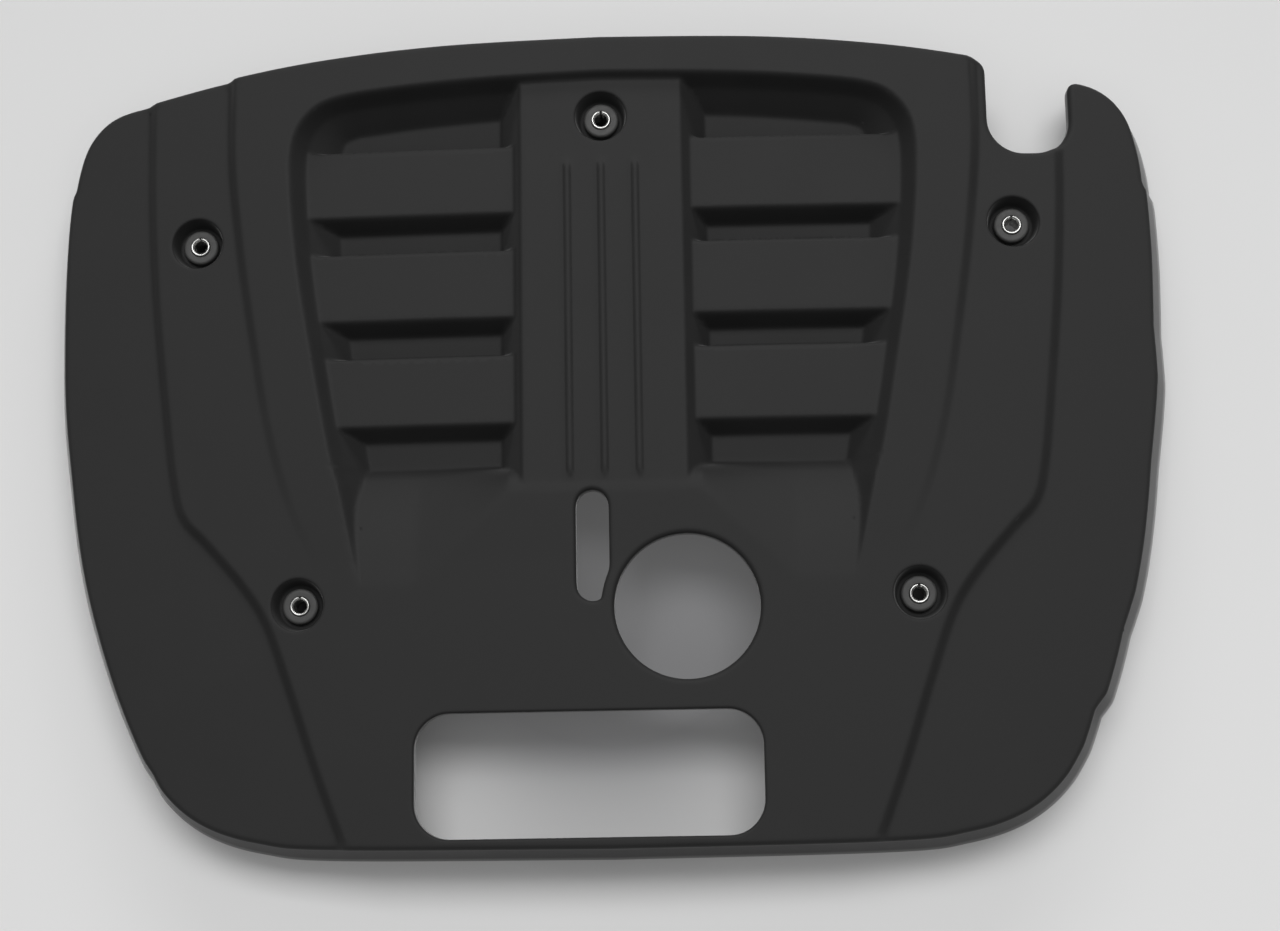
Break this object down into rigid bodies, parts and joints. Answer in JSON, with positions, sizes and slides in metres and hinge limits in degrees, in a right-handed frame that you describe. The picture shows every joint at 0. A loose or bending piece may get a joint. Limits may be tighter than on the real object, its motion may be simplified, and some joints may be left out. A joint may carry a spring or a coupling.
{
  "type": "engine cover",
  "caption": "Crowned plastic engine cover with a slatted recess, a filler hole, a dipstick slot, a front window, a rear notch and rubber-mounted fastener pockets.",
  "frame": {"origin": "middle of the bounding box, at the lower edge of the skirt", "axes": "+Z out of the visible face, +Y towards the rear edge with the notch, +X to the right seen from above with the rear edge up"},
  "size_m": [0.599, 0.438, 0.052],
  "materials": {
    "cover_plastic": "fine textured, matt black",
    "grommet_rubber": "moulded, slightly glossy",
    "sleeve_steel": "rolled, zinc plated"
  },
  "bodies": {
    "root": {"cover": "cover_plastic", "grommet_rear": "grommet_rubber", "grommet_left": "grommet_rubber", "grommet_right": "grommet_rubber", "grommet_front_left": "grommet_rubber", "grommet_front_right": "grommet_rubber", "sleeve_rear": "sleeve_steel", "sleeve_left": "sleeve_steel", "sleeve_right": "sleeve_steel", "sleeve_front_left": "sleeve_steel", "sleeve_front_right": "sleeve_steel"}
  },
  "joints": []
}
